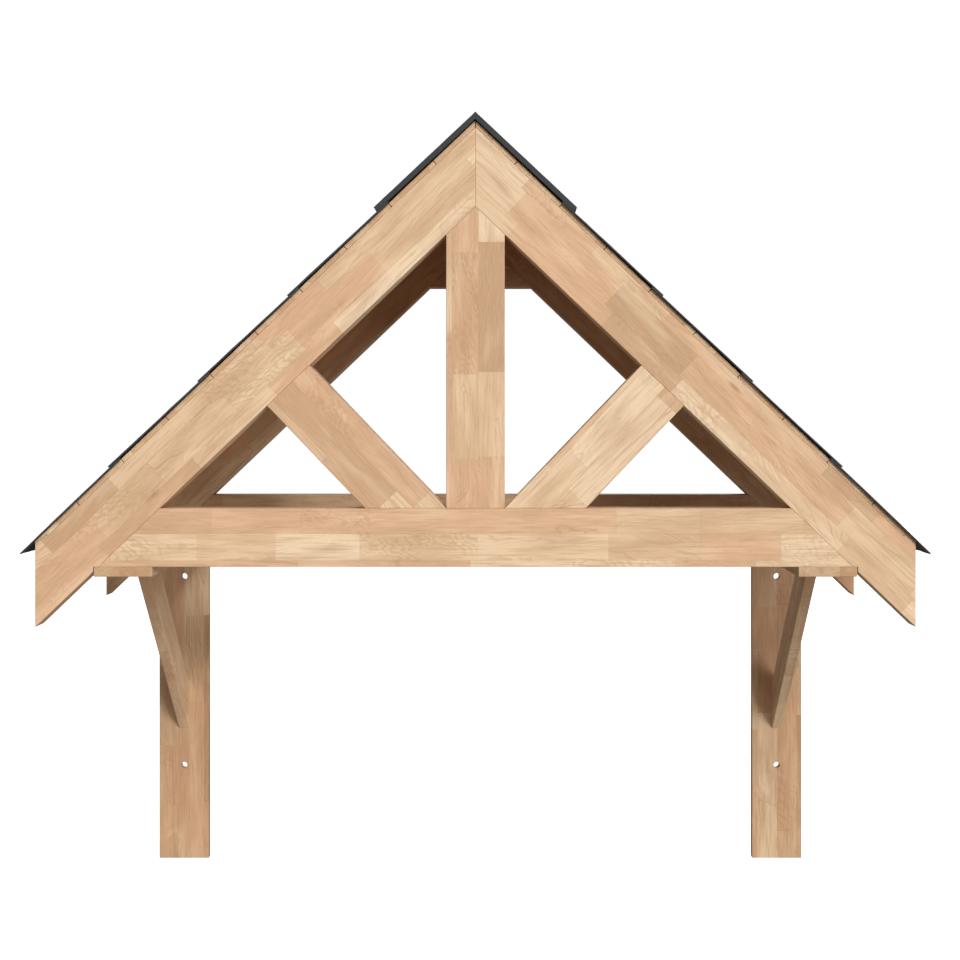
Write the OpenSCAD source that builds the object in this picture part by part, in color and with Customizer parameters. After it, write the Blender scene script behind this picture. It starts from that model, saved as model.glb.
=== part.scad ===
// Open-gable porch canopy in laminated oak, with a boarded and slate-tiled roof.
// It hangs on the wall over a door: two gallows brackets carry a truss at the wall
// and a truss at the front, and the roof boards run from one truss to the other.
// X runs along the wall, +Y points into the wall and +Z up.
// The origin is the middle of the rear tie beam's back face, on the wall.

/* [Overall] */
// Width over the plumb-cut tails of the rafters
span = 1428; // [1240:1:1800]
// From the wall to the front face of the front truss
depth = 480; // [400:1:800]
// Slope of the roof in degrees
pitch = 43.7; // [39:0.1:50]
// How far the tips of the rafter tails hang below the tie beams
tail_drop = 98; // [60:1:130]

/* [Trusses] */
// Face width of the tie beams, king post and struts
timber_w = 95; // [60:1:120]
// Face width of the rafters, square to the slope
rafter_w = 93; // [60:1:120]
// Thickness of the truss timbers, from front to back
timber_t = 45; // [30:1:70]
// Height of the block under the apex of the rear truss
apex_block_h = 93; // [50:1:130]

/* [Brackets] */
// Length of the rafter's seat on the outer edge of a bracket's arm
seat_l = 7.5; // [4:0.5:20]
// Width of a bracket's arm and wall leg
bracket_w = 95; // [60:1:120]
// Thickness of a bracket's arm and wall leg
bracket_t = 16; // [12:0.5:30]
// Length of a wall leg, from the underside of the arm to its foot
leg_l = 591; // [480:1:900]
// How far the brace's lower edge reaches along the arm and down the leg
brace_reach = 341; // [240:1:370]
// Width of a brace, square to its length
brace_w = 64; // [40:1:90]
// Thickness of a brace
brace_t = 19; // [12:0.5:40]
// Gap between an arm's outer edge and the heel of the seat cut in the rafter
seat_gap = 1; // [0.5:0.5:3]

/* [Wall fixings] */
// Diameter of the fixing holes in the wall legs
hole_d = 12; // [6:0.5:18]
// From the top of a wall leg to its upper hole
hole_top = 48; // [25:1:80]
// Distance between the two holes of a leg
hole_pitch = 364; // [200:1:390]

/* [Roof boards] */
// Thickness of the roof boards
board_t = 8; // [6:0.5:20]
// Width that each roof board covers
board_cover = 100; // [70:1:140]
// Open joint between two roof boards
board_gap = 1; // [0.5:0.1:3]
// Length of the lip at the rafter tail that the lowest board laps over
lip_l = 28; // [15:1:50]
// Height of that lip
lip_h = 4; // [2:0.5:5.5]
// Clearance between the lip and the rebate of the lowest board
lip_gap = 0.5; // [0.2:0.1:1]

/* [Slate tiles] */
// Thickness of a tile
tile_t = 2.5; // [1.5:0.5:8]
// Overlap of a course on the one below it
tile_lap = 24; // [15:1:60]
// Air between two courses where they overlap
tile_air = 0.2; // [0.1:0.1:1]
// How far the lowest course stands out past the rafter tails, level
eaves_over = 22.5; // [10:0.5:50]
// How far the tiles stand out in front of the front truss
verge_over = 7; // [2:0.5:50]

/* [Ridge cap] */
// Length of each leaf of the ridge cap, down the slope
ridge_leaf = 218; // [140:1:260]
// Thickness of the ridge cap
ridge_t = 8.5; // [4:0.5:12]
// Gap between the cap and the roof boards at the ridge, square to the slope
ridge_gap = 1; // [0.5:0.1:2]
// Rounding of the outer edge along the foot of each leaf
ridge_r = 2.5; // [1:0.5:3.5]

/* [Hidden] */
$fn = 48;
// The courses are set out evenly between the eaves and the ridge cap
COURSES = 4;
// No roof board is left narrower than this at the ridge
least_board = 30;
// Allowance that runs a cutter past the face it cuts
over = 1;

oak = [0.87, 0.73, 0.58];
oak_light = [0.91, 0.79, 0.64];
oak_dark = [0.78, 0.62, 0.46];
slate = [0.20, 0.21, 0.22];

half_span = span / 2;
// Level of the underside of the tie beams in the part's frame
tie_base = -timber_w / 2;

// Heights below are measured up from the underside of the tie beams
inner_apex = half_span * tan(pitch) - tail_drop;
outer_apex = inner_apex + rafter_w / cos(pitch);
roof_apex = outer_apex + board_t / cos(pitch);
slope_l = half_span / cos(pitch);

// Where the rafters' lower edges meet the tie underside, and the arms under them
heel = inner_apex / tan(pitch);
arm_out = heel + seat_l;
arm_in = arm_out - bracket_w;
arm_mid = arm_out - bracket_w / 2;

board_count = ceil((slope_l - least_board) / board_cover);

eaves_s = (half_span + eaves_over) / cos(pitch);
gauge = (eaves_s - ridge_leaf) / COURSES;
tile_l = gauge + tile_lap;
// Tilt that lifts a course clear of the head of the course below
tile_tilt = asin((tile_t + tile_air) / gauge);
// The ridge cap opens out from its gap at the ridge to clear the top course at its foot
ridge_rise = tile_t + tile_air + tile_lap * sin(tile_tilt) - ridge_gap;
ridge_tilt = asin(ridge_rise / ridge_leaf);
roof_depth = depth + verge_over;

// Height of the rafters' lower edge above the tie underside at x
function rafter_low(x) = inner_apex - x * tan(pitch);

// A point of the right-hand slope: s down the slope from an apex at height top,
// n square to it and outwards
function on_slope(s, n, top, slope = pitch) =
    [s * cos(slope) + n * sin(slope), top - s * sin(slope) + n * cos(slope)];

// Extrudes an outline drawn in front view, from y back by t
module upright(y, t)
    translate([0, y + t, tie_base])
        rotate([90, 0, 0])
            linear_extrude(t)
                children();

module in_front_truss() upright(-depth, timber_t) children();
module in_rear_truss() upright(-timber_t, timber_t) children();
module over_roof() upright(-roof_depth, roof_depth) children();
module left_hand() mirror([1, 0, 0]) children();

// Right-hand rafter: plumb cuts at apex and tail, the lip for the lowest roof board
// and the seat cut that takes the outer edge of the bracket's arm
module rafter_outline()
    difference() {
        polygon([
            [0, inner_apex],
            [0, outer_apex],
            on_slope(slope_l - lip_l, 0, outer_apex),
            on_slope(slope_l - lip_l, lip_h, outer_apex),
            on_slope(slope_l - lip_h * tan(pitch), lip_h, outer_apex),
            on_slope(slope_l, 0, outer_apex),
            [half_span, rafter_low(half_span)]
        ]);
        translate([0, -bracket_t])
            square([arm_out + seat_gap, bracket_t]);
    }

// Tie beam, scribed to the rafters' lower edges at both ends
module tie_outline() {
    head = (inner_apex - timber_w) / tan(pitch);
    polygon([[-heel, 0], [heel, 0], [head, timber_w], [-head, timber_w]]);
}

// King post, standing on the tie beam and pointed to fit between the rafters
module king_post_outline()
    polygon([
        [-timber_w / 2, timber_w],
        [timber_w / 2, timber_w],
        [timber_w / 2, rafter_low(timber_w / 2)],
        [0, inner_apex],
        [-timber_w / 2, rafter_low(timber_w / 2)]
    ]);

// Right-hand strut: square to the rafter, its foot on the tie beam beside the king post
module strut_outline() {
    upper = timber_w / 2;
    lower = upper + timber_w / cos(pitch);
    // Length of each edge, from the tie beam up to the rafter
    upper_l = (rafter_low(upper) - timber_w) * cos(pitch);
    lower_l = (rafter_low(lower) - timber_w) * cos(pitch);
    along = [sin(pitch), cos(pitch)];
    polygon([
        [upper, timber_w],
        [lower, timber_w],
        [lower, timber_w] + lower_l * along,
        [upper, timber_w] + upper_l * along
    ]);
}

// Block between the rafters under the apex of the rear truss
module apex_block_outline() {
    half = apex_block_h / tan(pitch);
    foot = inner_apex - apex_block_h;
    polygon([[0, inner_apex], [-half, foot], [half, foot]]);
}

// Roof board i of the right-hand slope, counted up from the eaves.
// The lowest is rebated over the rafter's lip and the topmost is mitred at the ridge.
module roof_board_outline(i) {
    lowest = i == 0;
    topmost = i == board_count - 1;
    low = slope_l - i * board_cover - board_gap / 2;
    high = slope_l - (i + 1) * board_cover + board_gap / 2;
    mitre = board_gap / 2 / cos(pitch);
    rebate = slope_l - lip_l - lip_gap;
    head = topmost
        ? [[mitre, 0], [mitre - board_t * tan(pitch), board_t]]
        : [[high, 0], [high, board_t]];
    foot = lowest
        ? [
            [slope_l - board_t * tan(pitch), board_t],
            [slope_l - lip_h * tan(pitch), lip_h],
            [rebate, lip_h],
            [rebate, 0]
        ]
        : [[low, board_t], [low, 0]];
    polygon([for (p = concat(head, foot)) on_slope(p[0], p[1], outer_apex)]);
}

module roof_boards()
    upright(-depth, depth)
        for (i = [0 : board_count - 1])
            roof_board_outline(i);

// Course k of the right-hand slope, counted up from the eaves: the lowest lies flat on
// the boards and each other one tilts over the head of the course below
module tile_course(k) {
    butt = eaves_s - (k - 1) * gauge;
    tilt = k == 1 ? 0 : tile_tilt;
    head = on_slope(butt - tile_l, 0, roof_apex);
    over_roof()
        translate(head)
            rotate(tilt - pitch)
                square([tile_l, tile_t]);
}

// Ridge cap: two leaves folded from one sheet, the outer edge of each foot rounded
module ridge_cap_outline() {
    slope = pitch - ridge_tilt;
    under = roof_apex + ridge_gap / cos(slope);
    rounding = [
        for (a = [90 : -15 : 0])
            [ridge_leaf - ridge_r * (1 - cos(a)), ridge_t - ridge_r * (1 - sin(a))]
    ];
    right = [
        for (p = concat(rounding, [[ridge_leaf, 0]]))
            on_slope(p[0], p[1], under, slope)
    ];
    left = [for (i = [len(right) - 1 : -1 : 0]) [-right[i][0], right[i][1]]];
    polygon(concat(
        [[0, under + ridge_t / cos(slope)]],
        right,
        [[0, under]],
        left
    ));
}

// Arm of the right-hand bracket, under both tie beams
module bracket_arm()
    translate([arm_in, -depth, tie_base - bracket_t])
        cube([bracket_w, depth, bracket_t]);

// Wall leg of the right-hand bracket, with its two fixing holes
module wall_leg()
    difference() {
        translate([arm_in, -bracket_t, tie_base - bracket_t - leg_l])
            cube([bracket_w, bracket_t, leg_l]);
        for (drop = [hole_top, hole_top + hole_pitch])
            translate([arm_mid, over, tie_base - bracket_t - drop])
                rotate([90, 0, 0])
                    cylinder(d = hole_d, h = bracket_t + 2 * over);
    }

// Brace of the right-hand bracket, on edge at 45 degrees between leg and arm
module brace() {
    inner = brace_reach - brace_w * sqrt(2);
    translate([arm_mid - brace_t / 2, -bracket_t, tie_base - bracket_t])
        rotate([90, 0, 90])
            linear_extrude(brace_t)
                polygon([
                    [0, -brace_reach],
                    [0, -inner],
                    [-inner, 0],
                    [-brace_reach, 0]
                ]);
}

module front_rafter_left() color(oak_light) left_hand() in_front_truss() rafter_outline();
module front_rafter_right() color(oak) in_front_truss() rafter_outline();
module front_tie_beam() color(oak) in_front_truss() tie_outline();
module king_post() color(oak_light) in_front_truss() king_post_outline();
module front_strut_left() color(oak) left_hand() in_front_truss() strut_outline();
module front_strut_right() color(oak) in_front_truss() strut_outline();

module rear_rafter_left() color(oak_dark) left_hand() in_rear_truss() rafter_outline();
module rear_rafter_right() color(oak_dark) in_rear_truss() rafter_outline();
module rear_tie_beam() color(oak) in_rear_truss() tie_outline();
module rear_apex_block() color(oak_dark) in_rear_truss() apex_block_outline();

module bracket_arm_left() color(oak_dark) left_hand() bracket_arm();
module bracket_arm_right() color(oak_dark) bracket_arm();
module wall_leg_left() color(oak) left_hand() wall_leg();
module wall_leg_right() color(oak) wall_leg();
module brace_left() color(oak_dark) left_hand() brace();
module brace_right() color(oak_dark) brace();

module roof_boards_left() color(oak_light) left_hand() roof_boards();
module roof_boards_right() color(oak_light) roof_boards();

module tile_course_left(k) color(slate) left_hand() tile_course(k);
module tile_course_right(k) color(slate) tile_course(k);

module ridge_cap() color(slate) over_roof() ridge_cap_outline();

front_rafter_left();
front_rafter_right();
front_tie_beam();
king_post();
front_strut_left();
front_strut_right();
rear_rafter_left();
rear_rafter_right();
rear_tie_beam();
rear_apex_block();
bracket_arm_left();
bracket_arm_right();
wall_leg_left();
wall_leg_right();
brace_left();
brace_right();
roof_boards_left();
roof_boards_right();
tile_course_left(1);  // tile_course_1_left
tile_course_left(2);  // tile_course_2_left
tile_course_left(3);  // tile_course_3_left
tile_course_left(4);  // tile_course_4_left
tile_course_right(1);  // tile_course_1_right
tile_course_right(2);  // tile_course_2_right
tile_course_right(3);  // tile_course_3_right
tile_course_right(4);  // tile_course_4_right
ridge_cap();
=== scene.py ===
"""Looks of an open-gable porch canopy: laminated oak trusses and brackets, roof boards,
riven slate tiles and a ridge cap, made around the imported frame, with its stage."""

import math
from types import SimpleNamespace

import bmesh
import bpy
from mathutils import Matrix, Vector, noise
from bpy.props import FloatProperty, FloatVectorProperty, PointerProperty


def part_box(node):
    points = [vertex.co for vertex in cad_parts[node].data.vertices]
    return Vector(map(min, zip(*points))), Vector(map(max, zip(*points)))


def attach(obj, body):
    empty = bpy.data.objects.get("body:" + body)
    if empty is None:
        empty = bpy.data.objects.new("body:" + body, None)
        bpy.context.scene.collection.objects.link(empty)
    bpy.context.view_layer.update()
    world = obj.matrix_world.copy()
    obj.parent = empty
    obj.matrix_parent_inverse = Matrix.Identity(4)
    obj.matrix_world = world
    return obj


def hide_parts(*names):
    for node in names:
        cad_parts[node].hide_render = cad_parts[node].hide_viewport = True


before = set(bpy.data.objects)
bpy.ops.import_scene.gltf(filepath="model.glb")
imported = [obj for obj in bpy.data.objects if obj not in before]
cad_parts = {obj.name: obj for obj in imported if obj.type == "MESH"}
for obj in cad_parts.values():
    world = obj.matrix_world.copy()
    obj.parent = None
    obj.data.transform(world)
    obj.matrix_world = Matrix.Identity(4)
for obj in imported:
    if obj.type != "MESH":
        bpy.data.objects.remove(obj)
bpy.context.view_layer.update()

bl_info = {
    "name": "Porch canopy looks",
    "version": (1, 0, 0),
    "blender": (4, 5, 0),
    "location": "View3D > Sidebar > Porch canopy",
    "description": "Dresses a porch canopy in laminated oak and riven slate",
    "category": "Object",
}

BODY = "root"
MM = 0.001
LEFT_RIGHT = ("left", "right")
COURSES = (1, 2, 3, 4)

# Widths of a stave in the timbers and in the wall legs, in millimetres
STAVE = 43.3
LEG_STAVE = 38

# Width of the roof boards' first stave, in millimetres
BOARD_FIRST_STAVE = 50

# Each timber: the width of its first stave and of the others, counted from its lower or left
# edge, and the number that picks its staves
FRONT_TRUSS = {
    "front_rafter_left": (23, STAVE, 11),
    "front_rafter_right": (30, STAVE, 4),
    "front_tie_beam": (10.5, STAVE, 16),
    "king_post": (9, STAVE, 3),
    "front_strut_left": (13, STAVE, 9),
    "front_strut_right": (43, STAVE, 5),
}
REAR_TRUSS = {
    "rear_rafter_left": (20, STAVE, 21),
    "rear_rafter_right": (35, STAVE, 22),
    "rear_tie_beam": (30, STAVE, 23),
    "rear_apex_block": (40, STAVE, 24),
}
BRACKET_BOARDS = {
    "bracket_arm_left": (25, STAVE, 31),
    "bracket_arm_right": (24, STAVE, 32),
    "wall_leg_left": (10, LEG_STAVE, 33),
    "wall_leg_right": (10, LEG_STAVE, 34),
}
BRACES = {
    "brace_left": (30, STAVE, 35),
    "brace_right": (22, STAVE, 36),
}

# Each light: its spread, azimuth and elevation in degrees. Azimuth 0 shines along +Y, from in
# front of the canopy, a negative one comes from the right, and a negative elevation from below
LIGHTS = {
    "key": (9, -19, 27),
    "high": (30, -12, 37),
    "side": (25, -45, 10),
    "low": (40, -60, -22),
    "fill": (30, 38, -8),
    "back": (40, 200, 35),
}


# ---------------------------------------------------------------- settings


def length(name, text, default, low, high):
    """A length in metres for the sidebar."""
    return FloatProperty(
        name=name, description=text, default=default, min=low, max=high,
        unit="LENGTH", subtype="DISTANCE", precision=4,
    )


def share(name, text, default):
    """A number from 0 to 1 for the sidebar."""
    return FloatProperty(
        name=name, description=text, default=default, min=0, max=1, subtype="FACTOR"
    )


def strength(name, text, default):
    """The strength of a light for the sidebar."""
    return FloatProperty(name=name, description=text, default=default, min=0, max=20)


def colour(name, text, default):
    """A linear colour for the sidebar."""
    return FloatVectorProperty(
        name=name, description=text, default=default, size=3, min=0, max=1, subtype="COLOR"
    )


class OakSettings(bpy.types.PropertyGroup):
    """Sizes and colours of the laminated oak."""

    stave_l: length("Stave length", "Usual length of a stave", 0.165, 0.08, 0.6)
    board_stave_w: length("Board stave", "Width of a stave in the roof boards", 0.0333, 0.02, 0.1)
    eased: length("Eased edge", "Width of the eased edges of a timber", 0.0012, 0.0002, 0.004)
    board_eased: length("Board edge", "Width of the eased edges of a board", 0.0009, 0.0002, 0.002)
    pale: colour("Pale oak", "Palest staves", (0.83, 0.64, 0.435))
    cream: colour("Cream oak", "Staves a little paler than most", (0.77, 0.55, 0.355))
    tan: colour("Tan oak", "Most of the staves", (0.71, 0.485, 0.30))
    pink: colour("Pink oak", "Staves with a warm pink cast", (0.70, 0.43, 0.26))
    brown: colour("Brown oak", "Darkest staves", (0.53, 0.325, 0.185))
    figure: share("Figure", "How strongly the growth rings show", 0.62)
    curl: share("Curl", "How strongly the curly figure shows", 0.34)
    joint: share("Joints", "How strongly the joints between staves show", 0.10)
    roughness: share("Roughness", "Roughness of the planed face", 0.55)


class SlateSettings(bpy.types.PropertyGroup):
    """Sizes and colours of the slate tiles and the ridge cap."""

    tile_w: length("Tile width", "Width that one tile covers", 0.2565, 0.1, 0.5)
    joint: length("Joint", "Open joint between two tiles", 0.0012, 0.0005, 0.01)
    riven: length("Riven depth", "Depth of the riven surface", 0.0006, 0.0, 0.0015)
    ragged: length("Ragged butt", "Unevenness of a tile's lower edge", 0.0026, 0.0, 0.004)
    rounding: length("Rounding", "Rounding of the ridge cap's foot", 0.0025, 0.0005, 0.005)
    cell: length("Cell", "Mesh spacing of the riven surface", 0.006, 0.003, 0.02)
    dark: colour("Dark slate", "Darker cast of the slate", (0.022, 0.024, 0.026))
    light: colour("Light slate", "Lighter cast of the slate", (0.052, 0.056, 0.058))
    roughness: share("Roughness", "Roughness of the slate", 0.62)


class StageSettings(bpy.types.PropertyGroup):
    """Floor, light and camera."""

    floor_drop: length("Floor", "From the wall brackets' feet down to the floor", 1.5, 0.0, 3.0)
    floor_size: length("Floor size", "Side of the square floor", 60.0, 5.0, 200.0)
    distance: length("Distance", "From the camera to the front truss", 2.444, 0.5, 10.0)
    eye: length("Eye height", "Height of the camera over the tie beams' underside", 0.242, -1.0, 2.0)
    aside: length("Aside", "How far the camera stands to the right of the middle", 0.051, -1.0, 1.0)
    lens: FloatProperty(
        name="Lens", description="Focal length in millimetres", default=56.55, min=20, max=200
    )
    shift_x: FloatProperty(
        name="Shift across", description="Sideways shift of the view", default=-0.028
    )
    shift_y: FloatProperty(
        name="Shift up", description="Upward shift of the view", default=-0.0649
    )
    key: strength("Key light", "Strength of the light from the right", 0.85)
    high: strength("High light", "Strength of the broad light from above", 1.35)
    side: strength("Side light", "Strength of the light that reaches the rear truss", 0.85)
    low: strength("Low light", "Strength of the light thrown up from the ground", 0.6)
    fill: strength("Fill light", "Strength of the low light from the left", 0.32)
    back: strength("Back light", "Strength of the light from behind", 1.0)
    ambient: strength("Ambient", "Strength of the light from all round", 0.16)
    warmth: colour("Ambient colour", "Colour of the light from all round", (1.0, 0.88, 0.74))
    backdrop: strength("Backdrop", "Brightness of the white behind the canopy", 1.05)
    glow: strength("Floor glow", "How brightly the floor shines by itself", 0.75)


# ---------------------------------------------------------------- shader helpers


def new_node(tree, kind, inputs=None, **settings):
    """Adds a shader node, with its settings and with values or links on its inputs."""
    made = tree.nodes.new("ShaderNode" + kind)
    for name, value in settings.items():
        setattr(made, name, value)
    for key, value in (inputs or {}).items():
        if isinstance(value, bpy.types.NodeSocket):
            tree.links.new(value, made.inputs[key])
        else:
            made.inputs[key].default_value = value
    return made


def maths(tree, operation, *values, clamp=False):
    """The result of one Math node."""
    made = new_node(tree, "Math", dict(enumerate(values)), operation=operation, use_clamp=clamp)
    return made.outputs[0]


def total(tree, *values):
    """The sum of several numbers or sockets."""
    made = values[0]
    for value in values[1:]:
        made = maths(tree, "ADD", made, value)
    return made


def product(tree, *values):
    """Several numbers or sockets multiplied together."""
    made = values[0]
    for value in values[1:]:
        made = maths(tree, "MULTIPLY", made, value)
    return made


def centred(tree, value, scale, power=1.0):
    """A value from 0 to 1 moved to lie about zero, raised to an odd power and scaled."""
    made = maths(tree, "SUBTRACT", value, 0.5)
    if power != 1.0:
        made = maths(tree, "POWER", made, power)
    return maths(tree, "MULTIPLY", made, scale)


def vector(tree, x, y, z):
    """A vector joined from three numbers or sockets."""
    return new_node(tree, "CombineXYZ", {0: x, 1: y, 2: z}).outputs[0]


def stretched(tree, source, x, y, z):
    """A vector multiplied axis by axis."""
    made = new_node(tree, "VectorMath", {0: source, 1: (x, y, z)}, operation="MULTIPLY")
    return made.outputs[0]


def grain_noise(tree, source, detail=2.0, roughness=0.5, distortion=0.0):
    """Noise at unit scale along a stretched vector."""
    made = new_node(
        tree, "TexNoise",
        {"Vector": source, "Scale": 1.0, "Detail": detail, "Roughness": roughness,
         "Distortion": distortion},
    )
    return made.outputs["Fac"]


def ranged(tree, value, low, high, out_low=0.0, out_high=1.0, kind="LINEAR"):
    """A value moved from one range to another, clamped."""
    made = new_node(
        tree, "MapRange",
        {"Value": value, "From Min": low, "From Max": high, "To Min": out_low, "To Max": out_high},
        interpolation_type=kind,
    )
    return made.outputs["Result"]


def blended(tree, factor, first, second, blend="MIX"):
    """Two colours mixed by a factor."""
    made = new_node(tree, "Mix", data_type="RGBA", blend_type=blend, clamp_factor=True)
    for key, value in (("Factor_Float", factor), ("A_Color", first), ("B_Color", second)):
        socket = next(s for s in made.inputs if s.identifier == key)
        if isinstance(value, bpy.types.NodeSocket):
            tree.links.new(value, socket)
        elif key == "Factor_Float":
            socket.default_value = value
        else:
            socket.default_value = (*value, 1.0)
    return next(s for s in made.outputs if s.identifier == "Result_Color")


def ramp(tree, factor, stops, kind="LINEAR"):
    """A colour ramp from a list of (position, colour)."""
    made = new_node(tree, "ValToRGB", {"Fac": factor})
    made.color_ramp.interpolation = kind
    points = made.color_ramp.elements
    while len(points) < len(stops):
        points.new(0.5)
    for point, (place, tint) in zip(points, stops):
        point.position = place
        point.color = (*tint, 1.0)
    return made.outputs["Color"]


def finish_shader(material, tint, rough, height, depth, strength=1.0):
    """Joins colour, roughness and bump to the material's Principled shader."""
    tree = material.node_tree
    shader = tree.nodes["Principled BSDF"]
    bump = new_node(tree, "Bump", {"Height": height, "Distance": depth, "Strength": strength})
    tree.links.new(tint, shader.inputs["Base Color"])
    tree.links.new(rough, shader.inputs["Roughness"])
    tree.links.new(bump.outputs["Normal"], shader.inputs["Normal"])
    return shader


# ---------------------------------------------------------------- materials


def read_grain(tree):
    """A timber's grain attributes, with the slow noises that its figures share. The grain
    attribute holds metres along, across and through the timber, the stave attribute counts
    its rows of staves, and endwise says how squarely a face cuts the grain."""
    place = new_node(tree, "Attribute", attribute_name="grain").outputs["Vector"]
    along, across, through = new_node(tree, "SeparateXYZ", {0: place}).outputs
    return SimpleNamespace(
        place=place, along=along, across=across, through=through,
        rows=new_node(tree, "Attribute", attribute_name="stave").outputs["Fac"],
        endwise=new_node(tree, "Attribute", attribute_name="endwise").outputs["Fac"],
        warp=grain_noise(tree, stretched(tree, place, 7.0, 20.0, 20.0), 2.0),
        ripple=grain_noise(tree, stretched(tree, place, 40.0, 90.0, 90.0), 2.0),
        patch=grain_noise(tree, stretched(tree, place, 10.0, 28.0, 28.0), 2.0),
    )


def stave_chances(tree, row, cell, salt):
    """Three numbers from 0 to 1 that are the same all over a stave."""
    stave = vector(tree, row, cell, salt)
    chance = new_node(tree, "TexWhiteNoise", {"Vector": stave}, noise_dimensions="3D")
    return new_node(tree, "SeparateXYZ", {0: chance.outputs["Color"]}).outputs


def stave_layout(tree, grain, stave_l):
    """The rows cut into staves: two sets of chances for each stave, and the joint lines."""
    row = maths(tree, "FLOOR", grain.rows)
    row_chance = new_node(tree, "TexWhiteNoise", {"W": row}, noise_dimensions="1D").outputs["Value"]
    place = total(
        tree, maths(tree, "DIVIDE", grain.along, stave_l), maths(tree, "MULTIPLY", row_chance, 37.0)
    )
    cells, edges = (
        new_node(
            tree, "TexVoronoi", {"W": place, "Scale": 1.0, "Randomness": 0.8},
            voronoi_dimensions="1D", feature=feature,
        )
        for feature in ("F1", "DISTANCE_TO_EDGE")
    )
    butt = maths(tree, "MULTIPLY", edges.outputs["Distance"], stave_l)
    side = maths(tree, "SUBTRACT", maths(tree, "FRACT", grain.rows), 0.5)
    side = maths(tree, "ABSOLUTE", side)
    return SimpleNamespace(
        first=stave_chances(tree, row, cells.outputs["W"], 0.5),
        second=stave_chances(tree, row, cells.outputs["W"], 7.5),
        joint=maths(
            tree, "MAXIMUM", ranged(tree, butt, 0.0002, 0.0007, 1.0, 0.0),
            ranged(tree, side, 0.488, 0.496),
        ),
    )


def knot_layout(tree, grain):
    """Scattered knots: how far the nearest place for one is, and whether it holds one."""
    cells = new_node(
        tree, "TexVoronoi", {"Vector": stretched(tree, grain.place, 2.6, 9.0, 0.0), "Scale": 1.0},
        voronoi_dimensions="2D", feature="F1",
    )
    chance = new_node(tree, "SeparateXYZ", {0: cells.outputs["Color"]}).outputs[0]
    return SimpleNamespace(far=cells.outputs["Distance"], here=ranged(tree, chance, 0.74, 0.76))


def ring_count(tree, grain, stave, knot):
    """Growth rings counted outwards from a pith that lies off the stave and drifts along it.
    They swell round the knots."""
    lean = maths(tree, "MULTIPLY", centred(tree, stave.second[0], 1.0, 3.0), 5.0)
    tip = centred(tree, stave.second[1], 0.16)
    across = total(
        tree, centred(tree, maths(tree, "FRACT", grain.rows), 0.043),
        centred(tree, stave.first[1], 0.12), maths(tree, "MULTIPLY", grain.along, lean),
    )
    through = total(
        tree, grain.through, ranged(tree, stave.first[2], 0.0, 1.0, 0.012, 0.085),
        maths(tree, "MULTIPLY", grain.along, tip),
    )
    radius = new_node(
        tree, "VectorMath", {0: vector(tree, across, through, 0.0)}, operation="LENGTH"
    ).outputs["Value"]
    swirl = ranged(tree, knot.far, 0.0, 0.36, 1.0, 0.0, "SMOOTHSTEP")
    swirl = maths(tree, "MULTIPLY", swirl, knot.here)
    radius = total(
        tree, radius, centred(tree, grain.warp, 0.040), centred(tree, grain.ripple, 0.0055),
        maths(tree, "MULTIPLY", swirl, 0.035),
    )
    ring_w = ranged(tree, stave.second[2], 0.0, 1.0, 0.0032, 0.0085)
    count = maths(tree, "DIVIDE", radius, ring_w)
    uneven = new_node(
        tree, "TexNoise", {"W": count, "Scale": 0.7, "Detail": 1.0}, noise_dimensions="1D"
    ).outputs["Fac"]
    return maths(tree, "ADD", count, centred(tree, uneven, 2.2))


def ring_figure(tree, grain, stave, knot):
    """Where the early wood of the growth rings shows, stronger in some patches and staves."""
    count = ring_count(tree, grain, stave, knot)
    ring = maths(tree, "FRACT", count)
    chance = new_node(
        tree, "TexWhiteNoise", {"W": maths(tree, "FLOOR", count)}, noise_dimensions="1D"
    ).outputs["Value"]
    early = product(
        tree, ranged(tree, ring, 0.0, 0.45, 1.0, 0.0, "SMOOTHSTEP"),
        ranged(tree, ring, 0.90, 1.0, 1.0, 0.0), ranged(tree, chance, 0.0, 1.0, 0.15, 1.0),
    )
    return product(
        tree, early, ranged(tree, grain.patch, 0.36, 0.58, 0.12, 1.0),
        ranged(tree, stave.second[0], 0.0, 1.0, 0.35, 1.0),
    )


def curly_figure(tree, grain, stave):
    """Wavy figure across the grain, in patches of some of the staves."""
    wave = total(
        tree, maths(tree, "MULTIPLY", grain.along, 58.0),
        maths(tree, "MULTIPLY", grain.across, 52.0),
        centred(tree, grain.warp, 7.0), centred(tree, grain.ripple, 3.0),
    )
    wave = maths(tree, "SINE", maths(tree, "MULTIPLY", wave, math.tau))
    return product(
        tree, ranged(tree, wave, -0.25, 0.85), ranged(tree, grain.patch, 0.47, 0.58),
        ranged(tree, stave.first[1], 0.74, 0.84),
    )


def stave_colour(tree, oak, grain, stave, fine):
    """The stave's own colour, with a tone that drifts in it and streaks along the grain."""
    drift = grain_noise(tree, stretched(tree, grain.place, 8.0, 40.0, 40.0), 2.0)
    streak = grain_noise(tree, stretched(tree, grain.place, 15.0, 290.0, 290.0), 3.0)
    tone = ramp(
        tree, stave.first[0],
        [(0.0, oak.brown), (0.12, oak.pink), (0.36, oak.pink), (0.44, oak.tan),
         (0.62, oak.tan), (0.76, oak.cream), (0.92, oak.pale)],
    )
    tint = blended(tree, ranged(tree, drift, 0.44, 0.66, 0.0, 0.55), tone, oak.brown)
    tint = blended(tree, ranged(tree, drift, 0.48, 0.30, 0.0, 0.42), tint, oak.pale)
    tint = blended(tree, ranged(tree, streak, 0.50, 0.70, 0.0, 0.62), tint, oak.brown)
    return blended(tree, ranged(tree, fine, 0.42, 0.70, 0.0, 0.22), tint, oak.pale)


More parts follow.
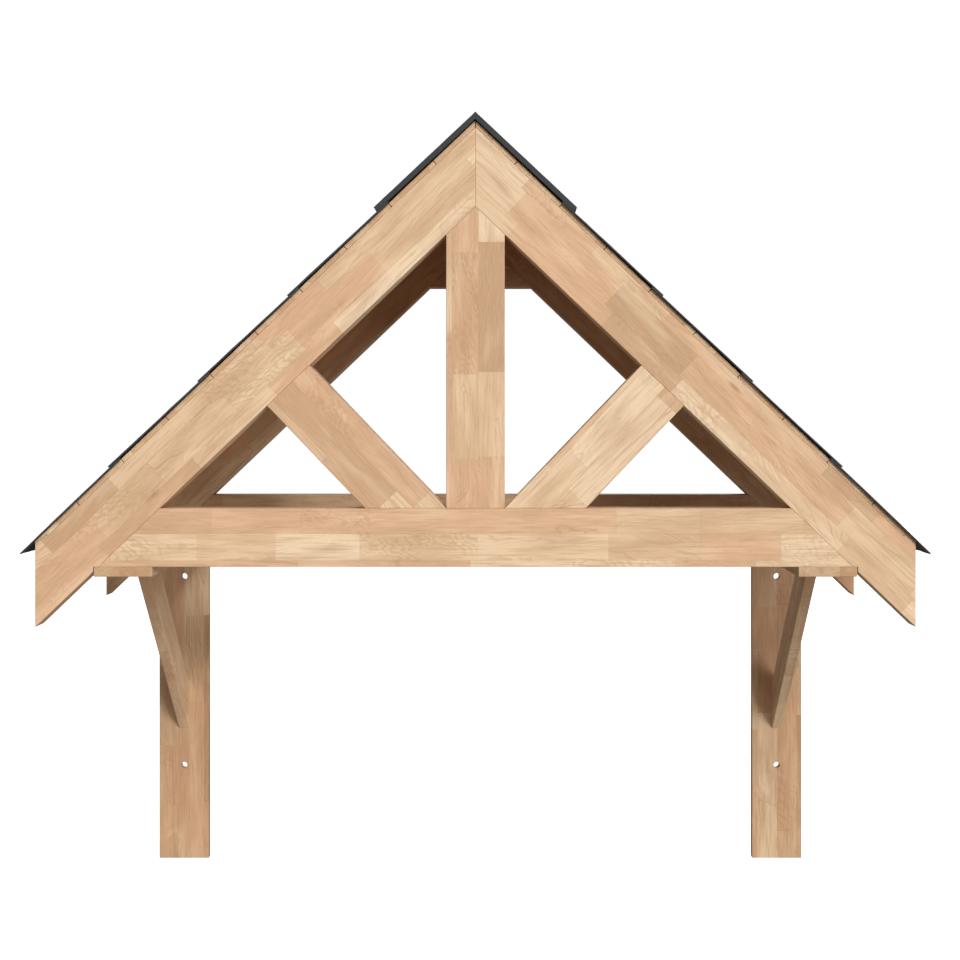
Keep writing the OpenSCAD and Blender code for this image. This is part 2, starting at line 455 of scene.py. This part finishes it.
def laminated_oak(name, darken=1.0):
    """Oak glued up from short staves, its colour darkened to a share of the full one; on the rear
    truss, the arms and the wall legs that darkening is painted shade.
    """
    oak = bpy.context.scene.canopy_oak
    material = bpy.data.materials.new(name)
    material.use_nodes = True
    tree = material.node_tree
    grain = read_grain(tree)
    stave = stave_layout(tree, grain, oak.stave_l)
    knot = knot_layout(tree, grain)
    rings = ring_figure(tree, grain, stave, knot)
    curly = curly_figure(tree, grain, stave)
    heart = product(
        tree, ranged(tree, knot.far, 0.005, 0.055, 1.0, 0.0, "SMOOTHSTEP"), knot.here,
        ranged(tree, grain.ripple, 0.3, 0.6, 0.35, 1.0),
    )
    fine = grain_noise(tree, stretched(tree, grain.place, 32.0, 650.0, 650.0), 2.0)
    pores = grain_noise(tree, stretched(tree, grain.place, 80.0, 1300.0, 1300.0), 1.0)
    pores = ranged(tree, pores, 0.60, 0.72)

    # Each mark in the wood, how strongly it shows, and the colour it stains the stave
    marks = (
        (rings, oak.figure, (0.42, 0.232, 0.115)),
        (curly, oak.curl, (0.47, 0.275, 0.15)),
        (pores, 0.16, (0.36, 0.21, 0.11)),
        (heart, 0.62, (0.30, 0.165, 0.08)),
        (stave.joint, oak.joint, (0.25, 0.15, 0.08)),
        (grain.endwise, 0.20, (0.52, 0.33, 0.18)),
    )
    tint = stave_colour(tree, oak, grain, stave, fine)
    for mark, amount, stain in marks:
        tint = blended(tree, maths(tree, "MULTIPLY", mark, amount), tint, stain)
    # Darkening by a share, made warmer as it deepens: painted shade on the rear truss, the arms and the
    # wall legs
    if darken != 1.0:
        tint = blended(tree, 1.0, tint, (darken, darken ** 1.3, darken ** 1.6), "MULTIPLY")

    rough = total(
        tree, ranged(tree, fine, 0.3, 0.7, -0.06, 0.08),
        maths(tree, "MULTIPLY", grain.endwise, 0.15), oak.roughness,
    )
    height = total(
        tree, maths(tree, "MULTIPLY", fine, 0.5), maths(tree, "MULTIPLY", pores, -0.6),
        maths(tree, "MULTIPLY", rings, -0.3), maths(tree, "MULTIPLY", stave.joint, -1.0),
    )
    shader = finish_shader(material, tint, rough, height, 0.00025, 0.6)
    shader.inputs["Specular IOR Level"].default_value = 0.32
    return material


def riven_slate(name, lift=1.0):
    """Charcoal slate with a riven face. The tone attribute sets each tile's own cast; at -1, on the
    undersides, it gives painted shade, near black.
    """
    slate = bpy.context.scene.canopy_slate
    material = bpy.data.materials.new(name)
    material.use_nodes = True
    tree = material.node_tree
    place = new_node(tree, "TexCoord").outputs["Object"]
    tone = new_node(tree, "Attribute", attribute_name="tone").outputs["Fac"]
    clouds = grain_noise(tree, stretched(tree, place, 9.0, 9.0, 9.0), 5.0, 0.6)
    layers = grain_noise(tree, stretched(tree, place, 38.0, 60.0, 38.0), 6.0, 0.62, 0.7)
    grit = grain_noise(tree, stretched(tree, place, 700.0, 700.0, 700.0), 2.0)
    flakes = grain_noise(tree, stretched(tree, place, 260.0, 260.0, 260.0), 1.0)
    flakes = ranged(tree, flakes, 0.66, 0.74)
    cast = total(
        tree, ranged(tree, clouds, 0.3, 0.7, 0.0, 0.55), maths(tree, "MULTIPLY", tone, 0.45)
    )
    tint = blended(tree, cast, slate.dark, slate.light)
    tint = blended(tree, ranged(tree, layers, 0.45, 0.75, 0.0, 0.5), tint, slate.light)
    tint = blended(tree, ranged(tree, grit, 0.5, 0.8, 0.0, 0.25), tint, (0.09, 0.095, 0.098))
    tint = blended(tree, maths(tree, "MULTIPLY", flakes, 0.35), tint, (0.13, 0.135, 0.135))
    # Painted shade: near black on the undersides, fading up the lower part of the edges
    tint = blended(tree, ranged(tree, tone, -1.0, 0.0, 0.85, 0.0), tint, (0.004, 0.004, 0.004))
    if lift != 1.0:
        tint = blended(tree, 1.0, tint, (lift, lift, lift), "MULTIPLY")
    rough = maths(tree, "ADD", ranged(tree, layers, 0.3, 0.7, -0.10, 0.14), slate.roughness, clamp=True)
    height = maths(tree, "ADD", layers, maths(tree, "MULTIPLY", grit, 0.12))
    shader = finish_shader(material, tint, rough, height, 0.0012, 0.7)
    shader.inputs["Specular IOR Level"].default_value = 0.4
    return material


# ---------------------------------------------------------------- meshes


def merged_copy(node):
    """A copy of a CAD node's loose triangles, merged into whole flat faces."""
    bm = bmesh.new()
    bm.from_mesh(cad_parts[node].data)
    bmesh.ops.remove_doubles(bm, verts=bm.verts, dist=1e-6)
    bmesh.ops.dissolve_limit(
        bm, angle_limit=math.radians(1), verts=bm.verts, edges=bm.edges
    )
    return bm


def ease_edges(bm, width):
    """Rounds every sharp edge a little, as sanding does."""
    sharp = [e for e in bm.edges if e.is_manifold and e.calc_face_angle(0.0) > math.radians(20)]
    bmesh.ops.bevel(
        bm, geom=sharp, offset=width, offset_type="OFFSET", affect="EDGES",
        segments=2, profile=0.5, clamp_overlap=True, material=-1,
    )


def longest_edge(bm):
    """The direction of a shape's longest straight edge."""
    edge = max(bm.edges, key=lambda e: e.calc_length())
    run = (edge.verts[1].co - edge.verts[0].co).normalized()
    return -run if (run.x, run.z, run.y) < (0.0, 0.0, 0.0) else run


def thin_axis(bm):
    """The axis along which a shape is thinnest."""
    spans = [
        max(v.co[i] for v in bm.verts) - min(v.co[i] for v in bm.verts) for i in range(3)
    ]
    axis = Vector((0, 0, 0))
    axis[spans.index(min(spans))] = 1.0
    return axis


def lay_grain(bm, along, through, stave_w, first_w, seed):
    """Writes the grain attributes: metres along, across and through the timber, the count
    of its staves across, and how squarely each face cuts the grain."""
    across = through.cross(along)
    if (round(across.z, 3), across.x) < (0.0, 0.0):
        across = -across
    low = min(v.co.dot(across) for v in bm.verts)
    grain = bm.verts.layers.float_vector.new("grain")
    stave = bm.verts.layers.float.new("stave")
    endwise = bm.faces.layers.float.new("endwise")
    for v in bm.verts:
        rise = v.co.dot(across) - low
        v[grain] = (v.co.dot(along) + 3.7 * seed, rise + 1.3 * seed, v.co.dot(through))
        v[stave] = (rise - first_w) / stave_w + 1.0 + 20.0 * seed
    for face in bm.faces:
        face[endwise] = abs(face.normal.dot(along)) ** 2


def new_piece(name, bm, material, slot, *nodes):
    """Turns a bmesh into a piece that rides on the frame and stands for CAD nodes."""
    mesh = bpy.data.meshes.new(name)
    bm.to_mesh(mesh)
    bm.free()
    mesh.materials.append(material)
    piece = bpy.data.objects.new(name, mesh)
    bpy.context.scene.collection.objects.link(piece)
    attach(piece, BODY)
    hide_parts(*nodes)
    return piece


def eased_timber(node, first_w, stave_w, seed, material, slot):
    """One timber with eased edges and its grain laid along it."""
    bm = merged_copy(node)
    along, through = longest_edge(bm), thin_axis(bm)
    ease_edges(bm, bpy.context.scene.canopy_oak.eased)
    lay_grain(bm, along, through, stave_w * MM, first_w * MM, seed)
    return new_piece(node + "_oak", bm, material, slot, node)


def timbers(table, slot, finish, darken):
    """Every timber of a table, in one oak finish."""
    oak = laminated_oak(finish, darken)
    for node, (first_w, stave_w, seed) in table.items():
        eased_timber(node, first_w, stave_w, seed, oak, slot)


def sheet_frame(node):
    """A course's sheet: its head corner at the front, unit vectors to the back, down the
    slope and out of the roof, and its size along each."""
    bm = merged_copy(node)
    lengths = sorted((round(e.calc_length(), 5), e.index) for e in bm.edges)
    bm.edges.ensure_lookup_table()
    slope = bm.edges[lengths[len(lengths) // 2][1]]
    down = (slope.verts[1].co - slope.verts[0].co).normalized()
    down = -down if down.z > 0 else down
    back = Vector((0, 1, 0))
    out = back.cross(down)
    out = -out if out.z < 0 else out
    corner = [min(v.co.dot(axis) for v in bm.verts) for axis in (back, down, out)]
    size = [
        max(v.co.dot(axis) for v in bm.verts) - low
        for axis, low in zip((back, down, out), corner)
    ]
    bm.free()
    origin = back * corner[0] + down * corner[1] + out * corner[2]
    return origin, (back, down, out), size


def riven(point, seed):
    """How deep the riven surface lies at a point, from 0 to 1: broad terraces and ripples."""
    place = Vector((point.x, point.y, 0.0)) + Vector((seed * 1.7, seed * 2.3, seed * 0.9))
    broad = noise.noise(place * 14.0)
    steps = noise.noise(place * 42.0 + Vector((3.0, 1.0, 4.0)))
    return min(max(0.5 + 0.55 * broad + 0.35 * steps, 0.0), 1.0)


def slate_sheet(width, long, thick, seed):
    """A riven slab in the plane of X and Y, from the origin to (width, long), with its back at
    Z = 0 and a ragged lower edge at Y = long."""
    slate = bpy.context.scene.canopy_slate
    bm = bmesh.new()
    bmesh.ops.create_grid(
        bm, size=0.5,
        x_segments=max(2, round(width / slate.cell)), y_segments=max(2, round(long / slate.cell)),
    )
    bmesh.ops.translate(bm, verts=bm.verts, vec=(0.5, 0.5, 0.0))
    bmesh.ops.scale(bm, verts=bm.verts, vec=(width, long, 1.0))
    for v in bm.verts:
        foot = max(0.0, (v.co.y - long + 2 * slate.cell) / (2 * slate.cell))
        wave = 0.5 + 0.7 * noise.noise(Vector((v.co.x * 30.0, seed * 5.1, 0.0)))
        v.co.y -= slate.ragged * min(max(wave, 0.0), 1.0) * foot
    under = set(bm.verts)
    upper = bmesh.ops.extrude_face_region(bm, geom=bm.faces[:])["geom"]
    upper = [g for g in upper if isinstance(g, bmesh.types.BMVert)]
    bmesh.ops.translate(bm, verts=upper, vec=(0, 0, thick))
    for v in upper:
        v.co.z -= slate.riven * riven(v.co, seed)
    # The tile's own tone, and painted shade on its underside
    set_tone_and_painted_shade(bm, 0.5 + 0.5 * noise.noise(Vector((seed * 3.3, 0.4, 0.7))), under)
    bmesh.ops.recalc_face_normals(bm, faces=bm.faces)
    return bm


def set_tone_and_painted_shade(bm, value, under):
    """Gives every vertex the sheet's own tone, and those on its underside -1 for painted shade, which
    blackens the underside and the lower part of its edges.
    """
    tone = bm.verts.layers.float.new("tone")
    for v in bm.verts:
        v[tone] = -1.0 if v in under else value


def append_bmesh(target, source):
    """Adds one bmesh to another and frees it."""
    mesh = bpy.data.meshes.new("spare")
    source.to_mesh(mesh)
    source.free()
    target.from_mesh(mesh)
    bpy.data.meshes.remove(mesh)


def slate_course(node, number, side_seed, material):
    """One course as single tiles: half-bonded, so every other course starts with a half."""
    slate = bpy.context.scene.canopy_slate
    origin, (back, down, out), (depth, long, thick) = sheet_frame(node)
    turn = Matrix((back, down, out)).transposed().to_4x4()
    place = Matrix.Translation(origin) @ turn
    course = bmesh.new()
    course.verts.layers.float.new("tone")
    start = 0.0 if number % 2 else -slate.tile_w / 2
    tile = 0
    while start < depth - slate.joint:
        low = max(start + slate.joint / 2, 0.0)
        high = min(start + slate.tile_w - slate.joint / 2, depth)
        seed = side_seed + 7 * number + tile
        bm = slate_sheet(high - low, long, thick, seed)
        bmesh.ops.translate(bm, verts=bm.verts, vec=(low, 0, 0))
        bmesh.ops.transform(bm, matrix=place, verts=bm.verts)
        append_bmesh(course, bm)
        start += slate.tile_w
        tile += 1
    bmesh.ops.recalc_face_normals(course, faces=course.faces)
    return new_piece(node + "_tiles", course, material, "slate_tile", node)


def ridge_section(node):
    """The ridge cap's slope, the thickness of its sheet, and the length of a leaf's underside
    down the slope."""
    bm = merged_copy(node)
    top = max(v.co.z for v in bm.verts)
    under = min((f for f in bm.faces if f.normal.z < -0.5), key=lambda f: f.normal.z)
    slope = math.atan2(abs(under.normal.x), -under.normal.z)
    thick = (top - max(v.co.z for v in under.verts)) * math.cos(slope)
    leaf = max(
        e.calc_length() for e in under.edges if abs(e.verts[0].co.y - e.verts[1].co.y) < 1e-4
    )
    bm.free()
    return slope, thick, leaf


def riven_ridge_cap(node, material):
    """The ridge cap: one riven sheet folded along the ridge, the foot of each leaf rounded."""
    slate = bpy.context.scene.canopy_slate
    low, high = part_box(node)
    slope, thick, leaf = ridge_section(node)
    reach = leaf + thick * math.tan(slope)
    bm = bmesh.new()
    bmesh.ops.create_grid(
        bm, size=0.5, x_segments=2 * round(leaf / slate.cell),
        y_segments=round((high.y - low.y) / slate.cell),
    )
    bmesh.ops.scale(bm, verts=bm.verts, vec=(2 * reach, high.y - low.y, 1.0))
    bmesh.ops.translate(bm, verts=bm.verts, vec=(0, (low.y + high.y) / 2, 0))
    under = set(bm.verts)
    upper = bmesh.ops.extrude_face_region(bm, geom=bm.faces[:])["geom"]
    upper = {g for g in upper if isinstance(g, bmesh.types.BMVert)}
    foot = {v for v in upper if abs(v.co.x) > reach - 1e-6}
    for v in bm.verts:
        hand = math.copysign(1.0, v.co.x)
        down = Vector((math.cos(slope) * hand, 0, -math.sin(slope)))
        out = Vector((math.sin(slope) * hand, 0, math.cos(slope)))
        if v in under:
            fold = Vector((0, v.co.y, high.z - thick / math.cos(slope)))
            v.co = fold + down * abs(v.co.x) * leaf / reach
        else:
            sunk = slate.riven * riven(v.co, 90) if abs(v.co.x) > 1e-6 else 0.0
            v.co = Vector((0, v.co.y, high.z)) + down * abs(v.co.x) - out * sunk
    # The cap's own tone, and painted shade on its underside
    set_tone_and_painted_shade(bm, 0.15, under)
    bmesh.ops.bevel(
        bm, geom=[e for e in bm.edges if foot.issuperset(e.verts)], offset=slate.rounding,
        offset_type="OFFSET", affect="EDGES", segments=3, profile=0.5, material=-1,
    )
    bmesh.ops.recalc_face_normals(bm, faces=bm.faces)
    return new_piece(node + "_slate", bm, material, "ridge_slate", node)


# ---------------------------------------------------------------- operators


class CANOPY_OT_front_truss(bpy.types.Operator):
    """Rafters, tie beam, king post and struts of the truss at the front"""

    bl_idname = "canopy.front_truss"
    bl_label = "Front truss"

    def execute(self, context):
        timbers(FRONT_TRUSS, "oak_front", "laminated_oak_front", 1.0)
        return {"FINISHED"}


class CANOPY_OT_rear_truss(bpy.types.Operator):
    """Rafters, tie beam and apex block of the truss at the wall, in oak darkened as painted shade"""

    bl_idname = "canopy.rear_truss"
    bl_label = "Rear truss"

    def execute(self, context):
        # The rear truss's oak darkened to 0.82: painted shade, for the shadow under the roof and behind
        # the front truss
        timbers(REAR_TRUSS, "oak_rear", "laminated_oak_rear", 0.82)
        return {"FINISHED"}


class CANOPY_OT_brackets(bpy.types.Operator):
    """Arm, wall leg and brace of both gallows brackets, the arms and wall legs in oak darkened as
    painted shade and the braces in the full oak colour
    """

    bl_idname = "canopy.brackets"
    bl_label = "Brackets"

    def execute(self, context):
        # The arms and wall legs darkened to 0.82 as painted shade, for the shadow under the truss; the
        # braces keep the full colour
        timbers(BRACKET_BOARDS, "oak_bracket", "laminated_oak_bracket", 0.82)
        timbers(BRACES, "oak_bracket", "laminated_oak_brace", 1.0)
        return {"FINISHED"}


class CANOPY_OT_roof_boards(bpy.types.Operator):
    """Roof boards of both slopes, with eased edges"""

    bl_idname = "canopy.roof_boards"
    bl_label = "Roof boards"

    def execute(self, context):
        oak = context.scene.canopy_oak
        material = laminated_oak("laminated_oak_board", 0.96)
        for seed, side in enumerate(LEFT_RIGHT, 41):
            node = "roof_boards_" + side
            bm = merged_copy(node)
            face = max(bm.faces, key=lambda f: (round(f.calc_area(), 6), f.normal.z))
            through = face.normal.copy()
            ease_edges(bm, oak.board_eased)
            back, first_w = Vector((0, 1, 0)), BOARD_FIRST_STAVE * MM
            lay_grain(bm, back, through, oak.board_stave_w, first_w, seed)
            new_piece(node + "_oak", bm, material, "oak_board", node)
        return {"FINISHED"}


class CANOPY_OT_slates(bpy.types.Operator):
    """Slate tiles of both slopes, course by course"""

    bl_idname = "canopy.slates"
    bl_label = "Slate tiles"

    def execute(self, context):
        material = riven_slate("riven_slate_tile")
        for seed, side in zip((10, 60), LEFT_RIGHT):
            for number in COURSES:
                slate_course(f"tile_course_{number}_{side}", number, seed, material)
        return {"FINISHED"}


class CANOPY_OT_ridge_cap(bpy.types.Operator):
    """Ridge cap, folded over the heads of the top courses"""

    bl_idname = "canopy.ridge_cap"
    bl_label = "Ridge cap"

    def execute(self, context):
        riven_ridge_cap("ridge_cap", riven_slate("riven_ridge_slate", 0.85))
        return {"FINISHED"}


class CANOPY_OT_stage(bpy.types.Operator):
    """Pale floor, studio light and camera"""

    bl_idname = "canopy.stage"
    bl_label = "Stage"

    def execute(self, context):
        stage = context.scene.canopy_stage
        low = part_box("wall_leg_left")[0]
        pale_floor(stage, low.z - stage.floor_drop)
        white_surroundings(stage)
        for name, (spread, azimuth, elevation) in LIGHTS.items():
            sun(name + "_light", getattr(stage, name), spread, azimuth, elevation)
        camera_in_front(stage)
        context.scene.view_settings.view_transform = "Standard"
        return {"FINISHED"}


def pale_floor(stage, level):
    """A plain floor that neither throws light up at the canopy nor shades it from below."""
    bm = bmesh.new()
    bmesh.ops.create_grid(bm, x_segments=1, y_segments=1, size=stage.floor_size / 2)
    bmesh.ops.translate(bm, verts=bm.verts, vec=(0, 0, level))
    mesh = bpy.data.meshes.new("floor")
    bm.to_mesh(mesh)
    bm.free()
    material = bpy.data.materials.new("pale_floor")
    material.use_nodes = True
    shader = material.node_tree.nodes["Principled BSDF"]
    shader.inputs["Base Color"].default_value = (0.9, 0.9, 0.9, 1)
    shader.inputs["Roughness"].default_value = 0.9
    shader.inputs["Emission Color"].default_value = (1, 1, 1, 1)
    shader.inputs["Emission Strength"].default_value = stage.glow
    mesh.materials.append(material)
    floor = bpy.data.objects.new("floor", mesh)
    floor.visible_diffuse = False
    floor.visible_glossy = False
    floor.visible_shadow = False
    bpy.context.scene.collection.objects.link(floor)


def white_surroundings(stage):
    """White behind the object, and a soft even light on it."""
    world = bpy.data.worlds.new("surroundings")
    world.use_nodes = True
    tree = world.node_tree
    tree.nodes.clear()
    seen = new_node(tree, "LightPath").outputs["Is Camera Ray"]
    soft = new_node(
        tree, "Background", {"Color": (*stage.warmth, 1), "Strength": stage.ambient}
    )
    white = new_node(
        tree, "Background", {"Color": (1, 1, 1, 1), "Strength": stage.backdrop}
    )
    both = new_node(tree, "MixShader", {0: seen, 1: soft.outputs[0], 2: white.outputs[0]})
    new_node(tree, "OutputWorld", {"Surface": both.outputs[0]})
    bpy.context.scene.world = world


def sun(name, strength, spread, azimuth, elevation):
    """A soft light from far away."""
    data = bpy.data.lights.new(name, "SUN")
    data.energy = strength
    data.angle = math.radians(spread)
    lamp = bpy.data.objects.new(name, data)
    lamp.rotation_euler = (math.radians(90 - elevation), 0, -math.radians(azimuth))
    bpy.context.scene.collection.objects.link(lamp)


def camera_in_front(stage):
    """A camera square to the front truss."""
    data = bpy.data.cameras.new("camera")
    data.sensor_width = 36
    data.lens = stage.lens
    data.shift_x = stage.shift_x
    data.shift_y = stage.shift_y
    camera = bpy.data.objects.new("camera", data)
    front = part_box("front_tie_beam")[0]
    camera.location = (stage.aside, front.y - stage.distance, front.z + stage.eye)
    camera.rotation_euler = (math.radians(90), 0, 0)
    bpy.context.scene.collection.objects.link(camera)
    bpy.context.scene.camera = camera


class CANOPY_PT_panel(bpy.types.Panel):
    """Lists the canopy's settings and the steps that make it"""

    bl_idname = "CANOPY_PT_panel"
    bl_label = "Porch canopy"
    bl_space_type = "VIEW_3D"
    bl_region_type = "UI"
    bl_category = "Porch canopy"

    def draw(self, context):
        layout = self.layout
        for label, group in SETTINGS.items():
            box = layout.box()
            box.label(text=label)
            settings = getattr(context.scene, group)
            for name in settings.__annotations__:
                box.prop(settings, name)
        for step in STEPS:
            layout.operator(step.bl_idname)


SETTINGS = {"Oak": "canopy_oak", "Slate": "canopy_slate", "Stage": "canopy_stage"}
GROUPS = {
    "canopy_oak": OakSettings,
    "canopy_slate": SlateSettings,
    "canopy_stage": StageSettings,
}
STEPS = (
    CANOPY_OT_front_truss,
    CANOPY_OT_rear_truss,
    CANOPY_OT_brackets,
    CANOPY_OT_roof_boards,
    CANOPY_OT_slates,
    CANOPY_OT_ridge_cap,
    CANOPY_OT_stage,
)


def register():
    for group in GROUPS.values():
        bpy.utils.register_class(group)
    for name, group in GROUPS.items():
        setattr(bpy.types.Scene, name, PointerProperty(type=group))
    for step in STEPS:
        bpy.utils.register_class(step)
    bpy.utils.register_class(CANOPY_PT_panel)


def unregister():
    bpy.utils.unregister_class(CANOPY_PT_panel)
    for step in reversed(STEPS):
        bpy.utils.unregister_class(step)
    for name in GROUPS:
        delattr(bpy.types.Scene, name)
    for group in reversed(GROUPS.values()):
        bpy.utils.unregister_class(group)


def main():
    """Makes every piece and the stage."""
    register()
    bpy.ops.canopy.front_truss()
    bpy.ops.canopy.rear_truss()
    bpy.ops.canopy.brackets()
    bpy.ops.canopy.roof_boards()
    bpy.ops.canopy.slates()
    bpy.ops.canopy.ridge_cap()
    bpy.ops.canopy.stage()


if __name__ == "__main__":
    main()
